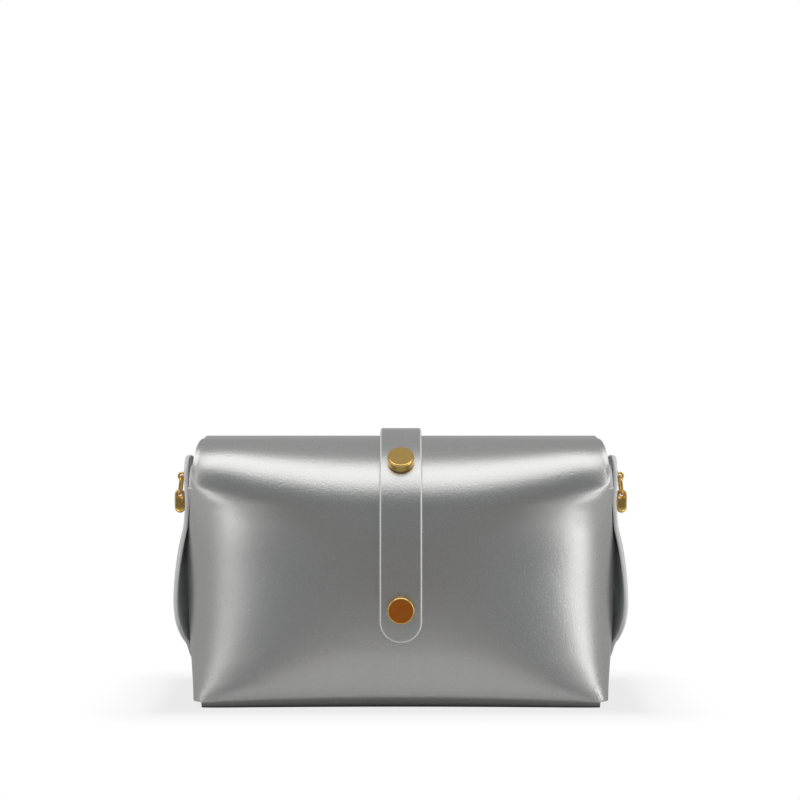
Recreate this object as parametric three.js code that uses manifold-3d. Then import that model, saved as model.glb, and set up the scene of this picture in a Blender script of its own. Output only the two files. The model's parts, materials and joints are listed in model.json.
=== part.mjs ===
// Mini handbag: one folded hide, a closing strap on studs, and a ring with a link at each side.
// Millimetres, +Z up. The face with the studs looks along -Y and the middle of the base is the origin.
import * as THREE from "three";
import { mergeVertices } from "three/addons/utils/BufferGeometryUtils.js";
import Module from "manifold-3d";

const wasm = await Module();
wasm.setup();

// Driving dimensions of the leather
const TOP = 112;
const LEATHER = 1.8;
const GAP = 0.35;
const SLIT_FOOT = 92;
const FLAP_HALF_WIDTH = 84.2;
const FLAP_END = 50;
const FLAP_CORNER = 14;
const FLAP_CLEARANCE = 0.6;
const TOP_BEND_MIDDLE = 28;
const TOP_BEND_EDGE = 14;
const FAR_BEND = 20;
const FAR_DEPTH = 32.6;
const FAR_BULGE = 1.5;
const FAR_TOP = 97;
const FOOT_BEND_EDGE = 2.6;
const FOOT_BEND_MIDDLE = 6.6;
const NEAR_WING_RISE = 8;
const NEAR_RISE_TURNS = { from: 1.5, to: 1.95 };
const FAR_WING_RISE = 7;
const FAR_RISE_TURNS = { from: 1.2, to: 1.8 };
const WING_FOOT_SHARES = { from: 0.03, to: 0.32 };
const OVERLAP_TURNS = { from: 0.85, to: 1.15 };
const FLARE = 4.6;
const FLARE_FOOT = 23;
const FLARE_HEAD = 74;
const FLARE_TURNS = { from: 1.2, to: 2.25 };
const FLARE_POWER = 1.5;
const FLARE_ROUND = 0.7;
const HEAD_LEAN = 1;
const HEAD_LEVELS = { from: 83, to: 92 };
const HEAD_TURNS = { from: 0.12, to: 0.6 };
const TAPER_POWER = 1.5;
const STRAP_WIDTH = 17.6;
const STRAP_END = 28.4;
const STRAP_LIFT = 1.2;
const STRAP_ACROSS = [1, 0.5, 0, -0.5, -1];
const STRAP_END_SHARES = [0.02, 0.15, 0.4, 0.75, 1.15];

// Driving dimensions of the metal
const STUD_RADIUS = 5.6;
const STUD_HEIGHT = 3.7;
const STUD_CHAMFER = 0.9;
const STUD_LEVEL = 42.2;
const STUD_TILT = THREE.MathUtils.degToRad(40);
const SHANK_RADIUS = 2;
const HOLE_LENGTH = 14;
const TAIL_RADIUS = 3.4;
const TAIL_HEIGHT = 0.8;
const TAIL_CLEARANCE = 0.7;
const POST_LEVEL = 95;
const POST_DEPTH = 1;
const POST_RADIUS = 2.8;
const POST_HEIGHT = 0.6;
const POST_SEAT = 0.4;
const EYE_RADIUS = 1.4;
const EYE_WIRE = 0.5;
const RING_WIRE = 0.55;
const RING_WIDTH = 9;
const RING_DROP = 7.8;
const RING_SQUARENESS = 3.6;
const RING_TILT = THREE.MathUtils.degToRad(6);
const LINK_WIDTH = 4.6;
const LINK_HEIGHT = 10.2;
const LINK_DEPTH = 3;
const LINK_BEVEL = 0.4;
const SLOT_WIDTH = 1.9;
const SLOT_HEIGHT = 1.9;
const SLOT_ROOF = 1.1;

// Sides of the round metal and steps round the bent wire
const ROUND_SIDES = 20;
const HOLE_SIDES = 12;
const WIRE_SIDES = 6;
const EYE_STEPS = 16;
const RING_STEPS = 28;
const LINK_STEPS = 6;

// Level sections of the bag. Roundness is that of the upright bends: near 0 sharp, 0.5 an ellipse.
const SECTIONS = [
  { z: 0, halfWidth: 86.8, nearDepth: 33, round: 0.042 },
  { z: 6, halfWidth: 87.6, nearDepth: 33.8, round: 0.08 },
  { z: 14, halfWidth: 89.2, nearDepth: 34.9, round: 0.18 },
  { z: 26, halfWidth: 90.9, nearDepth: 36.5, round: 0.32 },
  { z: 46, halfWidth: 92, nearDepth: 38, round: 0.42 },
  { z: 64, halfWidth: 92.3, nearDepth: 38, round: 0.41 },
  { z: 74, halfWidth: 91.4, nearDepth: 37.4, round: 0.35 },
  { z: 82, halfWidth: 90.4, nearDepth: 36.6, round: 0.255 },
  { z: 88, halfWidth: 90, nearDepth: 36, round: 0.16 },
  { z: 93, halfWidth: 89.8, nearDepth: 35.4, round: 0.095 },
  { z: 99, halfWidth: 89.8, nearDepth: 34.7, round: 0.068 },
  { z: 112, halfWidth: 89.8, nearDepth: 34, round: 0.05 },
];

// How far round the bag a wing starts and reaches: 1 is its own corner, 2 the middle of the side.
const NEAR_WING = [
  { z: 0, edge: 1, reach: 2.8 },
  { z: 20, edge: 1, reach: 2.7 },
  { z: 36, edge: 1, reach: 2.3 },
  { z: 60, edge: 1.02, reach: 2.2 },
  { z: 84, edge: 1.1, reach: 2.2 },
  { z: 93, edge: 1.095, reach: 2.22 },
  { z: 99, edge: 1.025, reach: 2.25 },
  { z: 112, edge: 1, reach: 2.25 },
];
const FAR_WING = [
  { z: 0, edge: 1, reach: 1.3 },
  { z: 10, edge: 1, reach: 1.62 },
  { z: 18, edge: 1, reach: 1.95 },
  { z: 26, edge: 1, reach: 2.15 },
  { z: 36, edge: 1, reach: 2.24 },
  { z: 88, edge: 1, reach: 2.25 },
  { z: 94, edge: 1, reach: 2.2 },
  { z: 97, edge: 1, reach: 2.05 },
];

// Where the hide is divided: across the face, round a wing, and along each stretch of the strip.
const FACE_COLUMNS = [0, 0.2, 0.4, 0.58, 0.72, 0.83, 0.91, 0.96, 1];
const WING_COLUMNS = [0.03, 0.09, 0.18, 0.32, 0.5, 0.73, 1];
const STEPS = { flap: 4, flapCorner: 4, farBend: 6, crest: 2, topBend: 7, face: 12, foot: 3, wall: 11 };

// Corners closer than this are one corner.
const WELD = 1e-4;

// Short steps over which a slope is taken: a share of the face, and a height.
const SLOPE_SHARE = 0.004;
const SLOPE_STEP = 0.1;

const mix = THREE.MathUtils.lerp;
const clamp = THREE.MathUtils.clamp;
const smooth = THREE.MathUtils.smoothstep;
const point = (x, y, z) => new THREE.Vector3(x, y, z);
const within = (value, { from, to }) => smooth(value, from, to);
const spread = (count) => Array.from({ length: count + 1 }, (_, k) => k / count);

// Reads one column of a table at height z, on an even curve through its rows.
function read(table, name, z) {
  const last = table.length - 1;
  const at = clamp(z, table[0].z, table[last].z);
  const k = clamp(table.findIndex((row) => row.z >= at) - 1, 0, last - 1);
  const slope = (i) => {
    const a = table[Math.max(0, i - 1)];
    const b = table[Math.min(last, i + 1)];
    return (b[name] - a[name]) / (b.z - a.z);
  };
  const height = table[k + 1].z - table[k].z;
  const f = (at - table[k].z) / height;
  const rise = f * f * (3 - 2 * f);
  const leave = f * (1 - f) * (1 - f) * height * slope(k);
  const arrive = f * f * (f - 1) * height * slope(k + 1);
  return mix(table[k][name], table[k + 1][name], rise) + leave + arrive;
}

function farDepth(z) {
  return FAR_DEPTH + FAR_BULGE * Math.sin(Math.PI * clamp(z / TOP, 0, 1));
}

const FLAP_DEPTH = farDepth(TOP / 2) + FLAP_CLEARANCE + LEATHER;

// Point of a level section, which is a squared ellipse. Turn 0 is the middle of the near face,
// 1 the near corner, 2 the middle of the side, 3 the far corner, 4 the middle of the far wall.
function section(turn, z, outset) {
  const t = Math.abs(turn);
  const across = clamp(Math.min(t, 4 - t), 0, 1);
  const forward = clamp(2 - t, -1, 1);
  const power = 1 / read(SECTIONS, "round", z);
  const size = (across ** power + Math.abs(forward) ** power) ** (1 / power);
  const halfDepth = forward > 0 ? read(SECTIONS, "nearDepth", z) : farDepth(z);
  const x = Math.sign(turn) * (read(SECTIONS, "halfWidth", z) + outset) * across / size;
  return point(x, -(halfDepth + outset) * forward / size, z);
}

function topBend(turn) {
  return mix(TOP_BEND_MIDDLE, TOP_BEND_EDGE, Math.min(1, turn * turn));
}

function footBend(turn) {
  return mix(FOOT_BEND_MIDDLE, FOOT_BEND_EDGE, Math.min(1, turn * turn));
}

// Lowest level of a column: the head of the foot bend, or for a near wing its edge on the floor.
function footLevel(column) {
  return footBend(column.face) * (1 - within(column.wing, WING_FOOT_SHARES));
}

// Turn of a column: a share of the way to the face's edge, or from there to the wing's reach.
function turnAt(column, wing, level) {
  const edge = read(wing, "edge", level);
  return column.side * (column.wing ? mix(edge, read(wing, "reach", level), column.wing) : column.face * edge);
}

// Outward lean of both wings of a side at their heads, most in the middle of the side.
function wingLean(turn, z) {
  return HEAD_LEAN * within(z, HEAD_LEVELS) * (1 - within(Math.abs(2 - Math.abs(turn)), HEAD_TURNS));
}

// Near face from the top bend (0) to the foot bend (1); past the corner it is the near wing.
function facePoint(column, f, inset) {
  const low = footLevel(column);
  const level = mix(TOP - topBend(column.face), low, f);
  const turn = turnAt(column, NEAR_WING, level);
  const share = clamp((level - low) / (SLIT_FOOT - low), 0, 1);
  const z = level + NEAR_WING_RISE * within(Math.abs(turn), NEAR_RISE_TURNS) * share ** 2;
  return section(turn, z, wingLean(turn, z) - inset);
}

// Top bend: an arc that leaves the face along its own slope and ends level.
function topArc(column, inset) {
  const start = facePoint(column, 0, inset);
  const below = facePoint(column, SLOPE_SHARE, inset);
  const lean = Math.atan2(start.y - below.y, start.z - below.z);
  const radius = (TOP - inset - start.z) / (1 - Math.sin(lean));
  return { start, lean, radius };
}

function topBendPoint(column, f, inset) {
  const { start, lean, radius } = topArc(column, inset);
  const angle = mix(lean, Math.PI / 2, f);
  const x = mix(start.x, column.side * column.face * FLAP_HALF_WIDTH, f ** TAPER_POWER);
  const y = start.y + radius * (Math.cos(lean) - Math.cos(angle));
  return point(x, y, start.z + radius * (Math.sin(angle) - Math.sin(lean)));
}

function crestPoint(column, f, inset) {
  const start = topBendPoint(column, 1, inset);
  return point(start.x, mix(start.y, FLAP_DEPTH - FAR_BEND, f), start.z);
}

function farBendPoint(column, f, inset) {
  const angle = f * Math.PI / 2;
  const radius = FAR_BEND - inset;
  const y = FLAP_DEPTH - FAR_BEND + radius * Math.sin(angle);
  const z = TOP - FAR_BEND + radius * Math.cos(angle);
  return point(column.side * column.face * FLAP_HALF_WIDTH, y, z);
}

// Flap from the far bend down to a level; its two free corners are round.
function flapPoint(column, z, inset) {
  const into = clamp(1 - (z - FLAP_END) / FLAP_CORNER, 0, 1);
  const half = FLAP_HALF_WIDTH - FLAP_CORNER * (1 - Math.sqrt(1 - into * into));
  return point(column.side * column.face * half, FLAP_DEPTH - inset, z);
}

// Foot bend under the face (side -1) or under the far wall (side 1), from upright (0) to level (1).
function footPoint(column, f, inset, side) {
  const start = side < 0 ? facePoint(column, 1, inset) : wallPoint(column, 0, inset);
  const radius = footBend(column.face) - inset;
  const angle = f * Math.PI / 2;
  const y = start.y - side * radius * (1 - Math.cos(angle));
  return point(start.x, y, start.z - radius * Math.sin(angle));
}

// Far wall from the foot bend (0) to its top edge (1). Past the corner it is the far wing, which
// lies outside the near wing and stands off it between the foot and the head of the flare.
function wallPoint(column, f, inset) {
  const low = footBend(column.face);
  const level = mix(low, FAR_TOP, f);
  const turn = turnAt(column, FAR_WING, level);
  const t = Math.abs(turn);
  const z = level + FAR_WING_RISE * within(t, FAR_RISE_TURNS) * f ** 2;
  const layer = (LEATHER + GAP) * within(t, OVERLAP_TURNS);
  const open = clamp((z - FLARE_FOOT) / (FLARE_HEAD - FLARE_FOOT), 0, 1);
  const away = clamp((t - FLARE_TURNS.from) / (FLARE_TURNS.to - FLARE_TURNS.from), 0, 1);
  const flare = FLARE * Math.sin(Math.PI * open) ** FLARE_ROUND * away ** FLARE_POWER;
  return section(column.side * (4 - t), z, layer + flare + wingLean(t, z) - inset);
}

// Closed sheet from a grid of cells: an outer and an inner skin, joined along every free edge.
function sheetGeometry(rowCount, columnCount, place, isCell) {
  const positions = [];
  const names = new Map();
  const vertex = (i, j, skin) => {
    const key = `${i} ${j} ${skin}`;
    if (!names.has(key)) {
      names.set(key, names.size);
      positions.push(...place(i, j, skin * LEATHER).toArray());
    }
    return names.get(key);
  };
  const faces = [];
  const quad = (a, b, c, d) => {
    const [p, q, r, s] = [a, b, c, d].map((corner) => vertex(...corner));
    faces.push(p, q, r, p, r, s);
  };
  const rim = (p, q) => quad([...p, 0], [...q, 0], [...q, 1], [...p, 1]);
  for (let i = 0; i < rowCount - 1; i += 1) {
    for (let j = 0; j < columnCount - 1; j += 1) {
      if (!isCell(i, j)) continue;
      quad([i, j, 0], [i + 1, j, 0], [i + 1, j + 1, 0], [i, j + 1, 0]);
      quad([i, j, 1], [i, j + 1, 1], [i + 1, j + 1, 1], [i + 1, j, 1]);
      if (!isCell(i - 1, j)) rim([i, j], [i, j + 1]);
      if (!isCell(i + 1, j)) rim([i + 1, j + 1], [i + 1, j]);
      if (!isCell(i, j - 1)) rim([i + 1, j], [i, j]);
      if (!isCell(i, j + 1)) rim([i, j + 1], [i + 1, j + 1]);
    }
  }
  const geometry = new THREE.BufferGeometry();
  geometry.setAttribute("position", new THREE.Float32BufferAttribute(positions, 3));
  geometry.setIndex(faces);
  return geometry;
}

function solidOf(geometry) {
  const bare = geometry.clone();
  bare.deleteAttribute("normal");
  bare.deleteAttribute("uv");
  const welded = mergeVertices(bare, WELD);
  return new wasm.Manifold(new wasm.Mesh({
    numProp: 3,
    vertProperties: new Float32Array(welded.attributes.position.array),
    triVerts: new Uint32Array(welded.index.array),
  }));
}

function geometryOf(solid) {
  const mesh = solid.getMesh();
  const geometry = new THREE.BufferGeometry();
  geometry.setAttribute("position", new THREE.BufferAttribute(mesh.vertProperties, 3));
  geometry.setIndex(new THREE.BufferAttribute(mesh.triVerts, 1));
  geometry.computeVertexNormals();
  return geometry;
}

// Turns a shape built up the Y axis to look along a direction, and stands it at a place.
function standAt(geometry, { place, direction }) {
  const turn = new THREE.Quaternion().setFromUnitVectors(point(0, 1, 0), direction);
  return geometry.applyQuaternion(turn).translate(place.x, place.y, place.z);
}

// Fastenings: where each one meets the leather and which way it looks.
const MIDDLE = { side: 1, face: 0, wing: 0 };

function faceStation() {
  return { place: section(0, STUD_LEVEL, 0), direction: point(0, -1, 0) };
}

function bendStation() {
  const { lean } = topArc(MIDDLE, 0);
  const f = (STUD_TILT - lean) / (Math.PI / 2 - lean);
  const direction = point(0, -Math.cos(STUD_TILT), Math.sin(STUD_TILT));
  return { place: topBendPoint(MIDDLE, f, 0), direction };
}

function farStation() {
  return { place: section(4, STUD_LEVEL, 0), direction: point(0, 1, 0) };
}

function wingStation(side) {
  const x = section(2, POST_LEVEL, LEATHER + GAP + wingLean(2, POST_LEVEL)).x;
  return { place: point(side * x, POST_DEPTH, POST_LEVEL), direction: point(side, 0, 0) };
}

// Takes a clearance hole for a shank out of a sheet at each station.
function pierce(geometry, stations) {
  const radius = SHANK_RADIUS + GAP;
  const pins = stations.map((station) => (
    solidOf(standAt(new THREE.CylinderGeometry(radius, radius, HOLE_LENGTH, HOLE_SIDES), station))
  ));
  return geometryOf(pins.reduce((solid, pin) => solid.subtract(pin), solidOf(geometry)));
}

function hideGeometry() {
  const wings = [-1, 1].map((side) => WING_COLUMNS.map((wing) => ({ side, face: 1, wing })));
  const left = FACE_COLUMNS.slice(1).map((face) => ({ side: -1, face, wing: 0 }));
  const right = FACE_COLUMNS.map((face) => ({ side: 1, face, wing: 0 }));
  const columns = [...wings[0].reverse(), ...left.reverse(), ...right, ...wings[1]];

  const edgeTop = TOP - topBend(1);
  const wingTop = (edgeTop - SLIT_FOOT) / (edgeTop - footBend(1));
  const cornerTop = FLAP_END + FLAP_CORNER;
  const rows = [];
  const stretch = (steps, place, winged = false) => steps.forEach((f) => {
    rows.push({ winged, place: (column, inset) => place(column, f, inset) });
  });
  const corner = spread(STEPS.flapCorner).map((f) => FLAP_END + FLAP_CORNER * f ** 2);
  const straight = spread(STEPS.flap).slice(1, -1).map((f) => mix(cornerTop, TOP - FAR_BEND, f));
  stretch([...corner, ...straight], flapPoint);
  stretch(spread(STEPS.farBend).reverse(), farBendPoint);
  stretch(spread(STEPS.crest).slice(1, -1), crestPoint);
  stretch(spread(STEPS.topBend).reverse(), topBendPoint);
  stretch(spread(STEPS.face).map((f) => mix(wingTop, 1, f)), facePoint, true);
  stretch(spread(STEPS.foot).slice(1), (column, f, inset) => footPoint(column, f, inset, -1));
  stretch(spread(STEPS.foot).reverse().slice(0, -1), (column, f, inset) => footPoint(column, f, inset, 1));
  stretch(spread(STEPS.wall), wallPoint, true);

  const inFace = (j) => !columns[j].wing && !columns[j + 1].wing;
  const isCell = (i, j) => rows[i] && rows[i + 1] && columns[j] && columns[j + 1]
    && (inFace(j) || (rows[i].winged && rows[i + 1].winged));
  const place = (i, j, inset) => rows[i].place(columns[j], inset);
  const sheet = sheetGeometry(rows.length, columns.length, place, isCell);
  return pierce(sheet, [faceStation(), bendStation(), farStation(), wingStation(-1), wingStation(1)]);
}

// Middle line of the strap: a place on the leather below it and the angle of the way it faces,
// from the round end on the near face, over the top, to the round end at the far side.
function strapLine() {
  const half = STRAP_WIDTH / 2;
  const ends = STRAP_END_SHARES.map((f) => STRAP_END + f * half);
  const faceTop = TOP - TOP_BEND_MIDDLE;
  const runs = (top) => [...ends, ...spread(STEPS.flap).slice(1, -1).map((f) => mix(ends.at(-1), top, f))];
  const onFace = (z) => {
    const fall = read(SECTIONS, "nearDepth", z - SLOPE_STEP) - read(SECTIONS, "nearDepth", z + SLOPE_STEP);
    return { place: section(0, z, 0), angle: Math.atan2(fall, 2 * SLOPE_STEP), lift: 0 };
  };
  const { lean } = topArc(MIDDLE, 0);
  const level = Math.PI / 2;
  return [
    ...runs(faceTop).map(onFace),
    ...spread(STEPS.topBend).map((f) => (
      { place: topBendPoint(MIDDLE, f, 0), angle: mix(lean, level, f), lift: f ** 3 })),
    ...spread(STEPS.crest).slice(1, -1).map((f) => (
      { place: crestPoint(MIDDLE, f, 0), angle: level, lift: 1 })),
    ...spread(STEPS.farBend).map((f) => (
      { place: farBendPoint(MIDDLE, f, 0), angle: level * (1 + f), lift: (1 - f) ** 3 })),
    ...runs(TOP - FAR_BEND).reverse().map((z) => (
      { place: flapPoint(MIDDLE, z, 0), angle: Math.PI, lift: 0 })),
  ];
}

function strapGeometry() {
  const line = strapLine();
  const half = STRAP_WIDTH / 2;
  const place = (i, j, inset) => {
    const { place: under, angle, lift } = line[i];
    const into = clamp(1 - (under.z - STRAP_END) / half, 0, 1);
    const outset = GAP + lift * STRAP_LIFT + LEATHER - inset;
    const x = STRAP_ACROSS[j] * half * Math.sqrt(1 - into * into);
    return point(x, under.y - outset * Math.cos(angle), under.z + outset * Math.sin(angle));
  };
  const isCell = (i, j) => i >= 0 && j >= 0 && i < line.length - 1 && j < STRAP_ACROSS.length - 1;
  const sheet = sheetGeometry(line.length, STRAP_ACROSS.length, place, isCell);
  return pierce(sheet, [faceStation(), bendStation(), farStation()]);
}

// Round outline of a fastening: inner tail, shank, then a head that starts at the seat.
function fastening(layers, seat, head) {
  const tail = -layers - TAIL_CLEARANCE;
  const outline = [
    [0, tail - TAIL_HEIGHT],
    [TAIL_RADIUS, tail - TAIL_HEIGHT],
    [TAIL_RADIUS, tail],
    [SHANK_RADIUS, tail],
    [SHANK_RADIUS, seat],
    [head.radius, seat],
    [head.radius, seat + head.height - head.chamfer],
    [head.radius - head.chamfer, seat + head.height],
    [0, seat + head.height],
  ];
  return new THREE.LatheGeometry(outline.map(([r, h]) => new THREE.Vector2(r, h)), ROUND_SIDES);
}

function studGeometry(station, seat) {
  const head = { radius: STUD_RADIUS, height: STUD_HEIGHT, chamfer: STUD_CHAMFER };
  return geometryOf(solidOf(standAt(fastening(LEATHER, seat, head), station)));
}

// Middle of the eye that stands on the wing's post.
function eyeMiddle(side) {
  const { place } = wingStation(side);
  return point(place.x + side * (POST_SEAT + EYE_WIRE / 3 + EYE_RADIUS), place.y, place.z);
}

function postGeometry(side) {
  const head = { radius: POST_RADIUS, height: POST_HEIGHT, chamfer: POST_HEIGHT / 3 };
  const post = standAt(fastening(2 * LEATHER + GAP, POST_SEAT, head), wingStation(side));
  const middle = eyeMiddle(side);
  const eye = new THREE.TorusGeometry(EYE_RADIUS, EYE_WIRE, WIRE_SIDES, EYE_STEPS).rotateX(Math.PI / 2);
  return geometryOf(solidOf(post).add(solidOf(eye.translate(middle.x, middle.y, middle.z))));
}

// Squared loop that hangs from its upper bar and leans outwards.
class HangingLoop extends THREE.Curve {
  constructor(side) {
    super();
    this.side = side;
    this.pivot = eyeMiddle(side);
  }

  getPoint(t) {
    const angle = 2 * Math.PI * t;
    const squared = (v) => Math.sign(v) * Math.abs(v) ** (2 / RING_SQUARENESS);
    const down = RING_DROP / 2 * (1 - squared(Math.cos(angle)));
    const x = this.pivot.x + this.side * down * Math.sin(RING_TILT);
    const y = this.pivot.y + RING_WIDTH / 2 * squared(Math.sin(angle));
    return point(x, y, this.pivot.z - down * Math.cos(RING_TILT));
  }
}

function ringGeometry(side) {
  const tube = new THREE.TubeGeometry(new HangingLoop(side), RING_STEPS, RING_WIRE, WIRE_SIDES, true);
  return geometryOf(solidOf(tube));
}

function stadium(shape, width, top, height) {
  const r = width / 2;
  shape.absarc(0, top - r, r, 0, Math.PI, false);
  shape.absarc(0, top - height + r, r, Math.PI, 2 * Math.PI, false);
  shape.closePath();
  return shape;
}

// Link: an upright oval with a slot at its upper end, round which the ring's lower bar passes.
function linkGeometry(side) {
  const bar = new HangingLoop(side).getPoint(0.5);
  const roof = RING_WIRE + GAP;
  const outline = stadium(new THREE.Shape(), LINK_WIDTH, roof + SLOT_ROOF, LINK_HEIGHT);
  outline.holes.push(stadium(new THREE.Path(), SLOT_WIDTH, roof, SLOT_HEIGHT));
  const link = new THREE.ExtrudeGeometry(outline, {
    depth: LINK_DEPTH - 2 * LINK_BEVEL,
    curveSegments: LINK_STEPS,
    bevelSegments: 1,
    bevelThickness: LINK_BEVEL,
    bevelSize: LINK_BEVEL,
    bevelOffset: -LINK_BEVEL,
  });
  link.translate(0, 0, -LINK_DEPTH / 2 + LINK_BEVEL).rotateX(Math.PI / 2);
  return geometryOf(solidOf(link.translate(bar.x, bar.y, bar.z)));
}

const silver = () => new THREE.MeshStandardMaterial({ color: 0x9c9d9a, roughness: 0.4, metalness: 0.7 });
const gold = () => new THREE.MeshStandardMaterial({ color: 0xcfa452, roughness: 0.22, metalness: 1 });

const group = new THREE.Group();
group.name = "mini_handbag";
function addPiece(name, geometry, material) {
  const mesh = new THREE.Mesh(geometry, material);
  mesh.name = name;
  group.add(mesh);
}

const strapSeat = 2 * GAP + LEATHER;
const farSeat = FLAP_DEPTH - farStation().place.y + strapSeat;
addPiece("hide", hideGeometry(), silver());
addPiece("strap", strapGeometry(), silver());
addPiece("stud_upper", studGeometry(bendStation(), strapSeat), gold());
addPiece("stud_lower", studGeometry(faceStation(), strapSeat), gold());
addPiece("stud_far", studGeometry(farStation(), farSeat), gold());
for (const [name, side] of [["left", -1], ["right", 1]]) {
  addPiece(`post_${name}`, postGeometry(side), gold());
  addPiece(`ring_${name}`, ringGeometry(side), gold());
  addPiece(`link_${name}`, linkGeometry(side), gold());
}

export default group;
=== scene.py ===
"""Looks of a mini handbag: a folded silver hide, its strap, and gold studs, posts, rings and links."""
import json
import math

import bmesh
import bpy
import numpy as np
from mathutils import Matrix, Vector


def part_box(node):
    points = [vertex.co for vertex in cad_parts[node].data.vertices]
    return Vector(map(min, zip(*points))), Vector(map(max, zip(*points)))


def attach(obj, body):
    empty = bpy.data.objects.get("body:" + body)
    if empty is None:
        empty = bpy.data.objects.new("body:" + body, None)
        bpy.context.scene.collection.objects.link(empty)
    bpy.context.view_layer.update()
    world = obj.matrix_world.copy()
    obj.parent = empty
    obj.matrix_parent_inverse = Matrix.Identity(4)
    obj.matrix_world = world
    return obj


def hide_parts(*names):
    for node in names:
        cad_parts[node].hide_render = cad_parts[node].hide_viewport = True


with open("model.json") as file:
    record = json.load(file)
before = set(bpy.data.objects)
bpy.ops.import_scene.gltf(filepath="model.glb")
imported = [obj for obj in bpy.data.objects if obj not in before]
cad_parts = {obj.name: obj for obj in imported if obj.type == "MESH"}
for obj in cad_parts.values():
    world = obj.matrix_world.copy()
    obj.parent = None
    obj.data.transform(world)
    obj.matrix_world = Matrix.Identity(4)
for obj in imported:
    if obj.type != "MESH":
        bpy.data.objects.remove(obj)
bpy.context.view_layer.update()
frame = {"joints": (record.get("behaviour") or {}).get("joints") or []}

MM = 0.001
WELD = 1e-7

# Places and sizes taken from the frame, in millimetres
MEASURED_NODES = ("hide", "strap", "stud_lower", "ring_right", "link_right")
BOXES = {node: np.array(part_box(node)) / MM for node in MEASURED_NODES}
RING_HINGE = {joint["child"]: np.array(joint["pos_m"]) / MM for joint in frame["joints"]}
TOP = BOXES["hide"][1, 2]
FLAP_DEPTH = BOXES["hide"][1, 1]
STRAP_HALF_WIDTH = BOXES["strap"][1, 0]
STRAP_END = BOXES["strap"][0, 2]
STUD_RADIUS = BOXES["stud_lower"][1, 0]
STUD_LEVEL = BOXES["stud_lower"][:, 2].mean()
RING_WIDTH = np.ptp(BOXES["ring_right"][:, 1])
LINK_WIDTH, LINK_DEPTH, LINK_HEIGHT = np.ptp(BOXES["link_right"], axis=0)

# Leather, in millimetres: thickness, play between layers, and how far in a cut edge is round and pale
LEATHER = 1.8
GAP = 0.35
EDGE_ROUND = 0.6
EDGE_PALE = 0.85

# Top, flap and bends: half widths, levels and radii
TOP_HALF_WIDTH = 84.2
FLAP_HALF_WIDTH = 86
FLAP_END = 50
FLAP_CORNER = 14
TOP_BEND_MIDDLE = 28
TOP_BEND_EDGE = 18
TAPER_POWER = 1.5
FAR_BEND = 20
FOOT_BEND_MIDDLE = 6.6
FOOT_BEND_EDGE = 2.6

# Far wall: half depth, bulge, and level of its top edge
FAR_DEPTH = 32.6
FAR_BULGE = 1.5
FAR_TOP = 97

# Wings: where they part from the top, how their ends slant, how they overlap, and their lean at the head
SLIT_FOOT = 92
NEAR_WING_RISE = 8
NEAR_RISE_TURNS = (1.5, 1.95)
FAR_WING_RISE = 7
FAR_RISE_TURNS = (1.2, 1.8)
WING_FOOT_SHARES = (0.03, 0.32)
OVERLAP_TURNS = (0.85, 1.15)
HEAD_LEAN = 1
HEAD_LEVELS = (83, 92)
HEAD_TURNS = (0.12, 0.6)

# Flare of the far wings: how far they stand off, between which levels and turns, and how the wave bends
FLARE = 4.6
FLARE_FOOT = 23
FLARE_HEAD = 74
FLARE_TURNS = (1.2, 2.25)
FLARE_POWER = 1.5
FLARE_ROUND = 0.7
FLARE_SKEW = 1.5

# Leather in one turn of a wing, and the small steps that slopes are taken over
TURN_LENGTH = 35
SLOPE_SHARE = 0.004
SLOPE_STEP = 0.1

# Strap: how far it arches off the level top
STRAP_LIFT = 1.2
LIFT_POWER = 3

# Level sections of the bag; near 0 roundness its upright bends are sharp, at 0.5 it is an ellipse
SECTIONS = {
    "level": (0, 6, 14, 26, 46, 64, 74, 82, 88, 93, 99, 112),
    "half_width": (86.8, 87.6, 89.2, 90.9, 92, 92.3, 91.4, 90.4, 90, 89.8, 89.8, 89.8),
    "near_depth": (33, 33.8, 34.9, 36.5, 38, 38, 37.4, 36.6, 36, 35.4, 34.7, 34),
    "roundness": (0.042, 0.095, 0.205, 0.335, 0.42, 0.41, 0.35, 0.255, 0.16, 0.095, 0.068, 0.05),
}

# How far round the bag a wing starts and reaches: 1 is its own corner, 2 the middle of the side
NEAR_WING = {
    "level": (0, 20, 36, 60, 84, 93, 99, 112),
    "edge": (1, 1, 1, 1.02, 1.1, 1.095, 1.025, 1),
    "reach": (2.8, 2.7, 2.3, 2.2, 2.2, 2.22, 2.25, 2.25),
}
FAR_WING = {
    "level": (0, 10, 18, 26, 36, 88, 94, 97),
    "edge": (1, 1, 1, 1, 1, 1, 1, 1),
    "reach": (1.3, 1.62, 1.95, 2.15, 2.24, 2.25, 2.2, 2.05),
}

# Studs: height, rounding of rim and foot, short straight beside each arc, and where the upper one sits
STUD_HEIGHT = 3.7
STUD_RIM = 0.7
STUD_FOOT = 0.15
HOLD = 0.1
STUD_STATION = math.radians(40)
STUD_TILT = math.radians(46)
SHANK_RADIUS = 2

# Posts: the disc on the wing and the wire eye on it
POST_RADIUS = 2.8
POST_HEIGHT = 0.6
POST_SEAT = 0.4
POST_RIM = 0.3
EYE_RADIUS = 1.4
EYE_WIRE = 0.5
EYE_CLEAR_SHARE = 1 / 3

# Rings and links: wire, hang and lean of a ring; rounding and slot of a link
RING_WIRE = 0.55
RING_DROP = 7.8
RING_SQUARENESS = 3.6
RING_TILT = math.radians(6)
LINK_ROUND = 0.9
SLOT_WIDTH = 1.8
SLOT_HEIGHT = 1.8
SLOT_ROOF = 1.1
SLOT_STEEPNESS = 3
ANGLE_NUDGE = 1e-6

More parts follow.
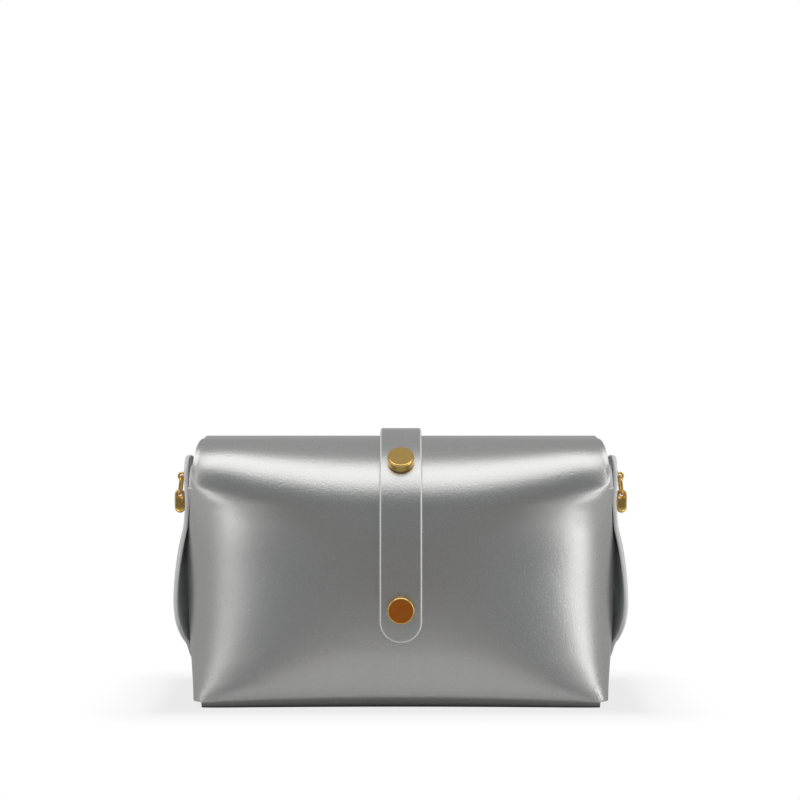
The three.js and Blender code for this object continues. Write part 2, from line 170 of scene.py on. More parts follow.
# Silver leather: its grain and clouds, the colours of coat, flesh side and cut edge, and how they shine
GRAIN_SCALE = 1600
GRAIN_DETAIL = 3
GRAIN_SHARPNESS = 0.6
GRAIN_STRENGTH = 0.75
GRAIN_HEIGHT = 0.00013
CLOUD_SCALE = 24
COAT_DARK = (0.54, 0.538, 0.528)
COAT_LIGHT = (0.58, 0.58, 0.572)
COAT_FLAKE = (0.74, 0.74, 0.73)
FLAKE_SHARES = (0.12, 0.28)
FLESH_DARK = (0.76, 0.775, 0.78)
FLESH_LIGHT = (0.95, 0.96, 0.96)
CUT_DARK = (0.84, 0.84, 0.83)
CUT_LIGHT = (0.96, 0.96, 0.95)
CUT_SHARES = (-0.1, 2.4)
COAT_METALLIC = 0.92
FLESH_METALLIC = 0.5
CUT_METALLIC = 0.1
COAT_ROUGHNESS = (0.25, 0.32)
FLESH_ROUGHNESS = 0.75

# Gold metal: its faint wear, its colours, and how it shines
WEAR_SCALE = 420
WEAR_DETAIL = 4
WEAR_SHARPNESS = 0.65
WEAR_STRENGTH = 0.08
WEAR_HEIGHT = 0.00005
GOLD_DARK = (0.76, 0.50, 0.15)
GOLD_LIGHT = (0.88, 0.60, 0.20)
GOLD_ROUGHNESS = (0.06, 0.17)

# Floor, in metres: its reach, how far out from the bag its painted shadow reaches, where it turns white, and
# its glowing corners
FLOOR_FRONT = 0.12
FLOOR_SIDE = 0.16
FLOOR_BACK = 0.3
# Painted shadow colour close round the bag, and the floor's own pale colour farther out
FLOOR_PAINTED_SHADOW = (0.2, 0.2, 0.2)
FLOOR_PALE = (0.78, 0.78, 0.78)
FLOOR_ROUGHNESS = 0.7
FLOOR_SHADOW_REACH = 0.012
FLOOR_CLEAR = 0.04
FLOOR_WHITE_SHARE = 0.8
FLOOR_CORNER_OUT = (0.105, 0.14)
FLOOR_CORNER_AHEAD = (0.06, 0.09)
FLOOR_CORNER_GLOW = 1.9

# Studio: soft lights as place and size in metres and power in watts, and the tones of the room
AIM = (0, 0, 0.06)
LIGHTS = {
    "light_above": ((0, -0.583, 0.993), (1.4, 0.89), 5.0),
    "light_right": ((0.99, -0.53, -0.05), (0.19, 1.9), 3.2),
    "light_left": ((-0.931, -0.632, -0.05), (0.19, 1.9), 1.3),
}
ROOM_BACK = (0.42, 0.42, 0.425)
ROOM_FRONT = (0.195, 0.203, 0.208)
ROOM_FRONT_SPAN = (0.2, 0.85)
ROOM_LOW = (0.5, 0.5, 0.5)
ROOM_LOW_SPAN = (0.24, 0.48)
ROOM_SIDE = (0.43, 0.43, 0.43)
ROOM_SIDE_OUT = (0.24, 0.48)
ROOM_SIDE_UP = (0, 0.18)
ROOM_SPOT = (0.28, 0.10, 0.026)
ROOM_SPOT_WAY = (0, -0.9914, -0.1305)
ROOM_SPOT_SPAN = (0.9962, 0.9994)

# Camera: place in metres, turn from looking straight down, and lens in millimetres
CAMERA_PLACE = (-0.00035, -0.8, 0.142)
CAMERA_TURN = math.radians(89)
CAMERA_LENS = 83.2
CAMERA_SENSOR = 36

# How finely each stretch of the hide, the strap and the metal is divided, and how columns crowd at the edges
STEPS = {
    "flap": 20, "corner": 16, "far_bend": 20, "crest": 6, "top_bend": 32, "face": 80, "foot": 9,
    "base": 4, "wall": 70, "across": 56, "wing": 34, "slit": 4,
    "strap_end": 15, "strap_run": 30, "strap_bend": 24, "strap_flat": 6, "strap_across": 41,
    "turned": 72, "arc": 7, "stud_rim": 11, "stud_foot": 4, "wire": 16, "eye": 48,
    "ring_trace": 144, "ring": 112, "link": 96, "link_corner": 6,
}
COLUMN_POWER = 2.2
STRAP_COLUMN_POWER = 1.8

# First, second and result sockets of Blender's mix node, whose names repeat
MIX_NUMBERS = (2, 3, 0)
MIX_COLOURS = (6, 7, 2)


def mix(a, b, share):
    """Straight blend from a to b."""
    return a + (b - a) * share


def within(value, limits):
    """Smooth step from 0 at the first limit to 1 at the second."""
    share = np.clip((value - limits[0]) / (limits[1] - limits[0]), 0, 1)
    return share * share * (3 - 2 * share)


def spread(count):
    """Even shares from 0 to 1, as a column of rows."""
    return np.linspace(0, 1, count + 1)[:, None]


def read(table, name, level):
    """Even curve through a table's rows: cubics whose slope at a row is that of its neighbours' chord."""
    levels = np.array(table["level"], float)
    values = np.array(table[name], float)
    last = len(levels) - 1
    before = np.maximum(np.arange(last + 1) - 1, 0)
    after = np.minimum(np.arange(last + 1) + 1, last)
    slopes = (values[after] - values[before]) / (levels[after] - levels[before])
    at = np.clip(level, levels[0], levels[-1])
    k = np.clip(np.searchsorted(levels, at) - 1, 0, last - 1)
    height = levels[k + 1] - levels[k]
    f = (at - levels[k]) / height
    leave = f * (1 - f) ** 2 * height * slopes[k]
    arrive = f * f * (f - 1) * height * slopes[k + 1]
    return mix(values[k], values[k + 1], f * f * (3 - 2 * f)) + leave + arrive


def points(x, y, z):
    """Three coordinates joined into one array of points."""
    return np.stack(np.broadcast_arrays(x, y, z), axis=-1).astype(float)


def far_depth(level):
    """Half depth of the far side: flat, plus half a sine wave from foot to top."""
    return FAR_DEPTH + FAR_BULGE * np.sin(np.pi * np.clip(level / TOP, 0, 1))


def section(turn, level, outset):
    """Squared ellipse at a level. Turn 0 is the near middle, 1 its corner, 2 a side, 4 the far middle."""
    t = np.abs(turn)
    across = np.clip(np.minimum(t, 4 - t), 0, 1)
    forward = np.clip(2 - t, -1, 1)
    power = 1 / read(SECTIONS, "roundness", level)
    size = (across ** power + np.abs(forward) ** power) ** (1 / power)
    half_depth = np.where(forward > 0, read(SECTIONS, "near_depth", level), far_depth(level))
    x = np.sign(turn) * (read(SECTIONS, "half_width", level) + outset) * across / size
    return points(x, -(half_depth + outset) * forward / size, level)


def top_bend(face):
    """Height of the top bend: tall in the middle, lower towards the sides with the square of the way out."""
    return mix(TOP_BEND_MIDDLE, TOP_BEND_EDGE, face ** 2)


def foot_bend(face):
    """Radius of the bend into the base, smaller towards the sides with the square of the way out."""
    return mix(FOOT_BEND_MIDDLE, FOOT_BEND_EDGE, face ** 2)


def hide_columns():
    """Columns of the hide, from the end of the left wing, over the face, to the end of the right wing."""
    out = np.linspace(0, 1, STEPS["across"] + 1)
    face = 1 - (1 - out) ** COLUMN_POWER
    round_side = np.linspace(0, 1, STEPS["wing"] + 1)[1:]
    wing = 1 - (1 - round_side ** 2) ** COLUMN_POWER
    half_face = np.concatenate([face, np.ones_like(wing)])
    half_wing = np.concatenate([np.zeros_like(face), wing])
    side = np.concatenate([-np.ones(len(half_face) - 1), np.ones(len(half_face))])
    return {
        "side": side,
        "face": np.concatenate([half_face[:0:-1], half_face]),
        "wing": np.concatenate([half_wing[:0:-1], half_wing]),
    }


def turn_of(columns, wing_table, level):
    """Turn of each column: a share of the way to the face's edge, or from there to the wing's reach."""
    edge = read(wing_table, "edge", level)
    in_wing = mix(edge, read(wing_table, "reach", level), columns["wing"])
    return columns["side"] * np.where(columns["wing"] > 0, in_wing, columns["face"] * edge)


def foot_level(columns):
    """Lowest level of each near column: the head of the foot bend, or for a wing its edge on the floor."""
    return foot_bend(columns["face"]) * (1 - within(columns["wing"], WING_FOOT_SHARES))


def wing_lean(turn, level):
    """Outward lean of both wings of a side at their heads: a smooth step, most in the middle of the side."""
    return HEAD_LEAN * within(level, HEAD_LEVELS) * (1 - within(np.abs(2 - np.abs(turn)), HEAD_TURNS))


def near_face(columns, f, inset):
    """Near face on the level sections, from the top bend (0) to the foot (1); past the corner, its wing."""
    low = foot_level(columns)
    level = mix(TOP - top_bend(columns["face"]), low, f)
    turn = turn_of(columns, NEAR_WING, level)
    share = np.clip((level - low) / (SLIT_FOOT - low), 0, 1)
    z = level + NEAR_WING_RISE * within(np.abs(turn), NEAR_RISE_TURNS) * share ** 2
    return section(turn, z, wing_lean(turn, z) - inset)


def top_arc(columns, inset):
    """Start, lean and radius of the arc that leaves the face along its own slope and ends level."""
    start = near_face(columns, 0, inset)
    below = near_face(columns, SLOPE_SHARE, inset)
    lean = np.arctan2(start[..., 1] - below[..., 1], start[..., 2] - below[..., 2])
    radius = (TOP - inset - start[..., 2]) / (1 - np.sin(lean))
    return start, lean, radius


def over_top(columns, f, inset):
    """Top bend from the face (0) to level (1): a circular arc, drawn in to the top's width on the way."""
    start, lean, radius = top_arc(columns, inset)
    angle = mix(lean, np.pi / 2, f)
    x = mix(start[..., 0], columns["side"] * columns["face"] * TOP_HALF_WIDTH, f ** TAPER_POWER)
    y = start[..., 1] + radius * (np.cos(lean) - np.cos(angle))
    return points(x, y, start[..., 2] + radius * (np.sin(angle) - np.sin(lean)))


def crest(columns, f, inset):
    """Level top from the top bend (0) to the far bend (1), widened to the flap by a smooth step."""
    start = over_top(columns, 1, inset)
    x = mix(start[..., 0], columns["side"] * columns["face"] * FLAP_HALF_WIDTH, within(f, (0, 1)))
    return points(x, mix(start[..., 1], FLAP_DEPTH - FAR_BEND, f), start[..., 2])


def far_bend(columns, f, inset):
    """Far bend from level (0) to upright (1): a quarter of a circle."""
    angle = f * np.pi / 2
    radius = FAR_BEND - inset
    y = FLAP_DEPTH - FAR_BEND + radius * np.sin(angle)
    z = TOP - FAR_BEND + radius * np.cos(angle)
    return points(columns["side"] * columns["face"] * FLAP_HALF_WIDTH, y, z)


def flap_half_width(level):
    """Half width of the flap: full above its round corners, a quarter circle narrower below."""
    into = np.clip(1 - (level - FLAP_END) / FLAP_CORNER, 0, 1)
    return FLAP_HALF_WIDTH - FLAP_CORNER * (1 - np.sqrt(1 - into ** 2))


def flap(columns, level, inset):
    """Flap hanging upright at one depth."""
    return points(columns["side"] * columns["face"] * flap_half_width(level), FLAP_DEPTH - inset, level)


def far_wall(columns, f, inset):
    """Far wall from the foot (0) to its top edge (1). Past the corner it is the far wing, one layer outside
    the near wing, and it stands off by half a sine wave, fullest low down, that grows to its free edge."""
    low = foot_bend(columns["face"])
    level = mix(low, FAR_TOP, f)
    t = np.abs(turn_of(columns, FAR_WING, level))
    z = level + FAR_WING_RISE * within(t, FAR_RISE_TURNS) * f ** 2
    layer = (LEATHER + GAP) * within(t, OVERLAP_TURNS)
    opening = np.clip((z - FLARE_FOOT) / (FLARE_HEAD - FLARE_FOOT), 0, 1)
    away = np.clip((t - FLARE_TURNS[0]) / (FLARE_TURNS[1] - FLARE_TURNS[0]), 0, 1)
    wave = np.sin(np.pi * (1 - (1 - opening) ** FLARE_SKEW)) ** FLARE_ROUND
    flare = FLARE * wave * away ** FLARE_POWER
    return section(columns["side"] * (4 - t), z, layer + flare + wing_lean(t, z) - inset)


def foot(columns, f, inset, side):
    """Foot bend from upright (0) to level (1): a quarter circle under the face (-1) or the far wall (1)."""
    start = near_face(columns, 1, inset) if side < 0 else far_wall(columns, 0, inset)
    radius = foot_bend(columns["face"]) - inset
    angle = f * np.pi / 2
    y = start[..., 1] - side * radius * (1 - np.cos(angle))
    return points(start[..., 0], y, start[..., 2] - radius * np.sin(angle))


def base(columns, f, inset):
    """Base: straight lines from the near foot bend (0) to the far one (1)."""
    return mix(foot(columns, 1, inset, -1), foot(columns, 1, inset, 1), f[..., None])


def flap_edge(columns, level):
    """Distance from the flap's edge: that of a rectangle with round lower corners."""
    x = columns["face"] * flap_half_width(level) - (FLAP_HALF_WIDTH - FLAP_CORNER)
    z = FLAP_END + FLAP_CORNER - level
    outside = np.hypot(np.maximum(x, 0), np.maximum(z, 0))
    return FLAP_CORNER - outside - np.minimum(np.maximum(x, z), 0)


def strip_edge(columns, f):
    """Distance from the side edges of the strip between the wings, the same in every row."""
    distance = (1 - columns["face"]) * FLAP_HALF_WIDTH
    return np.broadcast_to(distance, (len(f), len(distance)))


def wing_edge(columns, wing_table, level, ends):
    """Distance from a wing's free edge or its two ends, whichever is least; the face is far from them."""
    width = (read(wing_table, "reach", level) - read(wing_table, "edge", level)) * TURN_LENGTH
    free = (1 - columns["wing"]) * width
    in_wing = np.minimum(free, np.minimum(*ends))
    return np.where(columns["wing"] > 0, in_wing, np.inf)


def face_edge(columns, f):
    """Distance from the edges of the near wings; the face itself has none at these levels."""
    low = foot_level(columns)
    edge_top = TOP - TOP_BEND_EDGE
    level = mix(edge_top, low, f)
    return wing_edge(columns, NEAR_WING, level, (SLIT_FOOT - level, level - low))


def wall_edge(columns, f):
    """Distance from the edges of the far wings, and from the far wall's top edge."""
    height = FAR_TOP - foot_bend(columns["face"])
    level = mix(foot_bend(columns["face"]), FAR_TOP, f)
    in_wing = wing_edge(columns, FAR_WING, level, (f * height, (1 - f) * height))
    return np.minimum(in_wing, (1 - f) * height)


def hide_stretches():
    """Stretches of the hide from flap to far wall: place, edge distance, shares, and whether it has wings."""
    slit = (TOP - TOP_BEND_EDGE - SLIT_FOOT) / (TOP - TOP_BEND_EDGE - FOOT_BEND_EDGE)
    corner = FLAP_END + FLAP_CORNER * spread(STEPS["corner"]) ** 2
    straight = mix(FLAP_END + FLAP_CORNER, TOP - FAR_BEND, spread(STEPS["flap"])[1:-1])
    even = spread(STEPS["face"])
    return [
        (flap, flap_edge, np.concatenate([corner, straight]), False),
        (far_bend, strip_edge, spread(STEPS["far_bend"])[::-1], False),
        (crest, strip_edge, spread(STEPS["crest"])[-2:0:-1], False),
        (over_top, strip_edge, spread(STEPS["top_bend"])[::-1], False),
        (near_face, strip_edge, slit * spread(STEPS["slit"])[1:-1], False),
        (near_face, face_edge, mix(slit, 1, within(even, (0, 1))), True),
        (lambda c, f, inset: foot(c, f, inset, -1), strip_edge, spread(STEPS["foot"])[1:], False),
        (base, strip_edge, spread(STEPS["base"])[1:-1], False),
        (lambda c, f, inset: foot(c, f, inset, 1), strip_edge, spread(STEPS["foot"])[:0:-1], False),
        (far_wall, wall_edge, within(spread(STEPS["wall"]), (0, 1)), True),
    ]


def edge_half_thickness(distance):
    """Half thickness of a cut sheet: full inside, a quarter ellipse down to nothing at the edge."""
    into = 1 - np.clip(distance / EDGE_ROUND, 0, 1)
    return LEATHER / 2 * np.sqrt(1 - into ** 2)


def rim_of(cells):
    """Grid corners on the edge of a mask of cells: those with a cell and an empty place beside them."""
    padded = np.pad(cells, 1)
    around = [padded[:-1, :-1], padded[1:, :-1], padded[:-1, 1:], padded[1:, 1:]]
    return np.any(around, axis=0) & ~np.all(around, axis=0)


def sheet_mesh(name, outer, inner, cells, distance):
    """Closed sheet from two skins on one grid, which meet along the edge of the mask of cells. Each corner
    keeps how far it is cut edge and how far it is flesh side."""
    rim = rim_of(cells).ravel()
    count = rim.size
    near = np.arange(count).reshape(outer.shape[:2])
    far = np.where(rim, np.arange(count), np.arange(count) + count).reshape(near.shape)
    i, j = np.nonzero(cells)
    outside = np.stack([near[i, j], near[i + 1, j], near[i + 1, j + 1], near[i, j + 1]], axis=-1)
    inside = np.stack([far[i, j], far[i, j + 1], far[i + 1, j + 1], far[i + 1, j]], axis=-1)
    quads = np.concatenate([outside, inside])
    used, corners = np.unique(quads, return_inverse=True)
    places = np.concatenate([outer.reshape(-1, 3), inner.reshape(-1, 3)])[used]
    cut = 1 - np.clip(distance.ravel() / EDGE_PALE, 0, 1)
    attributes = {
        "cut": np.concatenate([cut, cut])[used],
        "flesh": np.concatenate([np.zeros(count), np.ones(count)])[used],
    }
    return mesh_piece(name, places, corners.reshape(quads.shape), attributes)


def mesh_piece(name, places, quads, attributes=None):
    """Object at the origin from places in millimetres and four-cornered faces; doubled corners are welded."""
    mesh = bpy.data.meshes.new(name)
    mesh.from_pydata(places * MM, [], quads)
    for label, values in (attributes or {}).items():
        layer = mesh.attributes.new(label, "FLOAT", "POINT")
        layer.data.foreach_set("value", values.astype(np.float32))
    corners = bmesh.new()
    corners.from_mesh(mesh)
    bmesh.ops.remove_doubles(corners, verts=corners.verts, dist=WELD)
    corners.to_mesh(mesh)
    corners.free()
    mesh.shade_smooth()
    piece = bpy.data.objects.new(name, mesh)
    bpy.context.scene.collection.objects.link(piece)
    return piece


def hide_piece():
    """The folded hide: every stretch in one grid, with the wings masked off where the sheet has none."""
    columns = hide_columns()
    outer, inner, distances, winged = [], [], [], []
    stretches = hide_stretches()
    for place, edge, shares, has_wings in stretches:
        distances.append(edge(columns, shares))
        winged.append(np.full(len(shares), has_wings))
    winged = np.concatenate(winged)
    distance = np.concatenate(distances)
    in_strip = (columns["wing"][:-1] == 0) & (columns["wing"][1:] == 0)
    cells = in_strip | (winged[:-1] & winged[1:])[:, None]
    distance = np.where(rim_of(cells), 0, distance)
    first = 0
    for place, edge, shares, has_wings in stretches:
        half = edge_half_thickness(distance[first:first + len(shares)])
        outer.append(place(columns, shares, LEATHER / 2 - half))
        inner.append(place(columns, shares, LEATHER / 2 + half))
        first += len(shares)
    return sheet_mesh("hide_leather", np.concatenate(outer), np.concatenate(inner), cells, distance)


def middle_column():
    """The column down the middle of the face."""
    return {"side": np.ones(1), "face": np.zeros(1), "wing": np.zeros(1)}


def strap_line():
    """Line under the strap from its near end, over the top, to its far end: place, facing angle, lift, and
    height above its ends."""
    middle = middle_column()
    lean = top_arc(middle, 0)[1][0]
    level = np.pi / 2
    ends = STRAP_END + STRAP_HALF_WIDTH * (1 - np.cos(np.linspace(0, level, STEPS["strap_end"])))
    near_straight = np.linspace(ends[-1], TOP - TOP_BEND_MIDDLE, STEPS["strap_run"])[1:-1]
    far_straight = np.linspace(ends[-1], TOP - FAR_BEND, STEPS["strap_run"])[1:-1]
    near_run = np.concatenate([ends, near_straight])
    far_run = np.concatenate([ends, far_straight])[::-1]
    below, above = (read(SECTIONS, "near_depth", near_run + step) for step in (-SLOPE_STEP, SLOPE_STEP))
    slope = (below - above) / (2 * SLOPE_STEP)
    bend = spread(STEPS["strap_bend"])
    flat = spread(STEPS["strap_flat"])[1:-1]
    place = np.concatenate([
        section(np.zeros_like(near_run), near_run, 0),
        over_top(middle, bend, 0)[:, 0],
        crest(middle, flat, 0)[:, 0],
        far_bend(middle, bend, 0)[:, 0],
        flap(middle, far_run[:, None], 0)[:, 0],
    ])
    angle = np.concatenate([
        np.arctan(slope), mix(lean, level, bend[:, 0]), np.full(len(flat), level),
        level * (1 + bend[:, 0]), np.full(len(far_run), np.pi),
    ])
    lift = np.concatenate([
        np.zeros(len(near_run)), bend[:, 0] ** LIFT_POWER, np.ones(len(flat)),
        (1 - bend[:, 0]) ** LIFT_POWER, np.zeros(len(far_run)),
    ])
    return place, angle, lift, place[:, 2] - STRAP_END


def strap_piece():
    """The strap: a flat profile with rounded edges carried along its line, with half-round ends."""
    place, angle, lift, way = strap_line()
    half = STRAP_HALF_WIDTH
    share = np.linspace(-1, 1, STEPS["strap_across"])
    across = np.sign(share) * (1 - (1 - np.abs(share)) ** STRAP_COLUMN_POWER)
    into = np.clip(half - way, 0, half)[:, None]
    x = -across * np.sqrt(half ** 2 - into ** 2)
    distance = half - np.hypot(x, into)
    thick = edge_half_thickness(distance)
    middle = GAP + (lift * STRAP_LIFT)[:, None] + LEATHER / 2

    def skin(offset):
        y = place[:, 1:2] - offset * np.cos(angle)[:, None]
        z = place[:, 2:3] + offset * np.sin(angle)[:, None]
        return points(x, y, z)

    cells = np.ones((len(place) - 1, len(share) - 1), bool)
    return sheet_mesh("strap_leather", skin(middle + thick), skin(middle - thick), cells, distance)


def full_turn(count):
    """Even angles all the way round."""
    return np.linspace(0, 2 * np.pi, count, endpoint=False)


def turned(outline, stand, direction):
    """Turned metal: an outline of radius and height, spun round an axis that stands at a place."""
    direction = np.array(direction, float)
    helper = (1.0, 0, 0) if direction[0] == 0 else (0, 1.0, 0)
    across = np.cross(direction, helper)
    across /= np.linalg.norm(across)
    beside = np.cross(direction, across)
    angle = full_turn(STEPS["turned"])[None, :, None]
    radius = outline[:, 0][:, None, None]
    height = outline[:, 1][:, None, None]
    ring = np.cos(angle) * across + np.sin(angle) * beside
    return np.array(stand) + radius * ring + height * direction


def loop_quads(rows, columns, closed_rows):
    """Faces of a grid whose columns run in a ring, and whose rows may too."""
    i, j = np.meshgrid(np.arange(rows if closed_rows else rows - 1), np.arange(columns), indexing="ij")
    below = (i + 1) % rows
    beside = (j + 1) % columns
    corners = (i * columns + j, below * columns + j, below * columns + beside, i * columns + beside)
    return np.stack(corners, axis=-1).reshape(-1, 4)


def corner_arc(centre, radius, start, stop, count=STEPS["arc"]):
    """Points of an arc in an outline, from one angle in degrees to another."""
    angle = np.radians(np.linspace(start, stop, count))
    return np.stack([centre[0] + radius * np.cos(angle), centre[1] + radius * np.sin(angle)], axis=-1)


def stud_outline(seat):
    """Half outline of a stud: flat face, quarter-round rim, straight side, small round foot, and shank."""
    top = seat + STUD_HEIGHT
    flat = STUD_RADIUS - STUD_RIM
    return np.concatenate([
        [(0, top), (flat - HOLD, top)],
        corner_arc((flat, top - STUD_RIM), STUD_RIM, 90, 0, STEPS["stud_rim"]),
        [(STUD_RADIUS, top - STUD_RIM - HOLD), (STUD_RADIUS, seat + STUD_FOOT + HOLD)],
        corner_arc((STUD_RADIUS - STUD_FOOT, seat + STUD_FOOT), STUD_FOOT, 0, -90, STEPS["stud_foot"]),
        [(SHANK_RADIUS, seat), (SHANK_RADIUS, seat - LEATHER), (0, seat - LEATHER)],
    ])


def metal_piece(name, shells):
    """One piece from closed shells, each a grid of points in rings and whether its rows close too."""
    places = []
    quads = []
    first = 0
    for grid, closed_rows in shells:
        rows, columns = grid.shape[:2]
        places.append(grid.reshape(-1, 3))
        quads.append(loop_quads(rows, columns, closed_rows) + first)
        first += rows * columns
    return mesh_piece(name, np.concatenate(places), np.concatenate(quads))


def stud_piece(name, stand, direction, seat):
    """A stud on the strap."""
    return metal_piece(name, [(turned(stud_outline(seat), stand, direction), False)])


def bend_station():
    """Place of the upper stud, where the top bend has the station's slope, and the way it faces."""
    middle = middle_column()
    lean = top_arc(middle, 0)[1][0]
    f = np.array([[(STUD_STATION - lean) / (np.pi / 2 - lean)]])
    return over_top(middle, f, 0)[0, 0], (0, -math.cos(STUD_TILT), math.sin(STUD_TILT))


def wire_ring(path, axis, wire):
    """Round wire along a closed flat path: circles across it, in the plane's normal and the path's own."""
    ahead = np.roll(path, -1, axis=0) - np.roll(path, 1, axis=0)
    ahead /= np.linalg.norm(ahead, axis=1, keepdims=True)
    beside = np.cross(ahead, axis)
    angle = full_turn(STEPS["wire"])[None, :, None]
    return path[:, None] + wire * (np.cos(angle) * beside[:, None] + np.sin(angle) * np.array(axis))


def post_piece(name, side, eye):
    """Post on a wing: a turned disc with a rounded rim and a shank, and an eye of wire standing on it."""
    seat = EYE_RADIUS + EYE_WIRE * EYE_CLEAR_SHARE
    outline = np.concatenate([
        [(0, POST_HEIGHT - seat), (POST_RADIUS - 2 * POST_RIM, POST_HEIGHT - seat)],
        corner_arc((POST_RADIUS - POST_RIM, POST_HEIGHT - POST_RIM - seat), POST_RIM, 90, -90),
        [(SHANK_RADIUS, -seat)],
        [(SHANK_RADIUS, -seat - POST_SEAT - LEATHER), (0, -seat - POST_SEAT - LEATHER)],
    ])
    angle = full_turn(STEPS["eye"])
    circle = eye + EYE_RADIUS * points(np.cos(angle), 0, np.sin(angle))
    disc = turned(outline, eye, (side, 0, 0))
    return metal_piece(name, [(disc, False), (wire_ring(circle, (0, 1, 0), EYE_WIRE), True)])


def ring_path(side, eye, angle):
    """Loop that hangs from its upper bar, leaning outwards: a squared ellipse tilted about that bar."""
    def squared(v):
        return np.sign(v) * np.abs(v) ** (2 / RING_SQUARENESS)

    down = RING_DROP / 2 * (1 - squared(np.cos(angle)))
    x = eye[0] + side * down * math.sin(RING_TILT)
    y = eye[1] + (RING_WIDTH / 2 - RING_WIRE) * squared(np.sin(angle))
    return points(x, y, eye[2] - down * math.cos(RING_TILT))


def ring_piece(name, side, eye):
    """The squared ring of round wire."""
    path = ring_path(side, eye, full_turn(STEPS["ring_trace"]))
    step = np.linalg.norm(np.roll(path, -1, axis=0) - path, axis=1)
    way = np.concatenate([[0], np.cumsum(step)])
    even = np.linspace(0, way[-1], STEPS["ring"], endpoint=False)
    closed = np.concatenate([path, path[:1]])
    path = np.stack([np.interp(even, way, closed[:, k]) for k in range(3)], axis=-1)
    axis = (side * math.cos(RING_TILT), 0, math.sin(RING_TILT))
    return metal_piece(name, [(wire_ring(path, axis, RING_WIRE), True)])


def stadium(width, top, height, angle):
    """Upright slot outline, read by angle about its middle: a half circle at each end and straight sides."""
    radius = width / 2
    straight = height / 2 - radius
    z = radius * np.sin(angle) + straight * np.clip(np.sin(angle) * SLOT_STEEPNESS, -1, 1)
    return np.stack([radius * np.cos(angle), top - height / 2 + z], axis=-1)


def link_piece(name, side, eye):
    """Link: a rounded rectangular profile carried round between an upright oval outline and its slot."""
    bar = ring_path(side, eye, np.array([np.pi]))[0]
    roof = RING_WIRE + GAP
    angle = full_turn(STEPS["link"])
    oval = stadium(LINK_WIDTH, roof + SLOT_ROOF, LINK_HEIGHT, angle)
    slot = stadium(SLOT_WIDTH, roof, SLOT_HEIGHT, angle)
    quarter = np.linspace(0, np.pi / 2, STEPS["link_corner"])
    turn = np.concatenate([quarter + k * np.pi / 2 for k in range(4)])
    straight = LINK_DEPTH / 2 - LINK_ROUND
    depth = np.sign(np.sin(turn + ANGLE_NUDGE)) * straight + LINK_ROUND * np.sin(turn)
    share = (1 + np.cos(turn))[None, :, None] / 2
    flat = mix(slot[:, None], oval[:, None], share)
    return metal_piece(name, [(bar + points(flat[..., 0], depth, flat[..., 1]), True)])


def blank_material(name):
    """Node material with its shader, and a place to read patterns from."""
    material = bpy.data.materials.new(name)
    material.use_nodes = True
    tree = material.node_tree
    shader = tree.nodes["Principled BSDF"]
    place = tree.nodes.new("ShaderNodeTexCoord").outputs["Object"]
    return material, tree, shader, place


def noise(tree, place, scale, detail=2.0, roughness=0.5):
    """Noise of a size on Object coordinates, centred on one half."""
    made = tree.nodes.new("ShaderNodeTexNoise")
    tree.links.new(place, made.inputs["Vector"])
    made.inputs["Scale"].default_value = scale
    made.inputs["Detail"].default_value = detail
    made.inputs["Roughness"].default_value = roughness
    return made.outputs["Fac"]


def ramp(tree, value, low, high):
    """Straight map of a 0 to 1 value onto a range."""
    made = tree.nodes.new("ShaderNodeMapRange")
    tree.links.new(value, made.inputs["Value"])
    made.inputs["To Min"].default_value = low
    made.inputs["To Max"].default_value = high
    return made.outputs["Result"]


def feed(tree, socket, value):
    """Gives a socket its value: a link from another socket, or a fixed one."""
    if isinstance(value, bpy.types.NodeSocket):
        tree.links.new(value, socket)
    else:
        socket.default_value = value


def opaque(colour):
    """A fixed colour with full cover; a colour socket stays as it is."""
    return colour if isinstance(colour, bpy.types.NodeSocket) else (*colour, 1)


def mixed(tree, made, share, first, second, sockets):
    """Sets up a mix node between two values and gives its result."""
    tree.links.new(share, made.inputs["Factor"])
    feed(tree, made.inputs[sockets[0]], first)
    feed(tree, made.inputs[sockets[1]], second)
    return made.outputs[sockets[2]]


def blend_colour(tree, share, first, second):
    """Colour between two colours or colour sockets."""
    made = tree.nodes.new("ShaderNodeMix")
    made.data_type = "RGBA"
    return mixed(tree, made, share, opaque(first), opaque(second), MIX_COLOURS)


def blend_value(tree, share, first, second):
    """Number between two numbers or sockets."""
    made = tree.nodes.new("ShaderNodeMix")
    return mixed(tree, made, share, first, second, MIX_NUMBERS)


def attribute(tree, name):
    """A number that the piece's own corners carry."""
    made = tree.nodes.new("ShaderNodeAttribute")
    made.attribute_name = name
    return made.outputs["Fac"]


def relief(tree, shader, height, strength, depth):
    """Small relief in a surface, from a pattern of heights."""
    made = tree.nodes.new("ShaderNodeBump")
    made.inputs["Strength"].default_value = strength
    made.inputs["Distance"].default_value = depth
    tree.links.new(height, made.inputs["Height"])
    tree.links.new(made.outputs["Normal"], shader.inputs["Normal"])


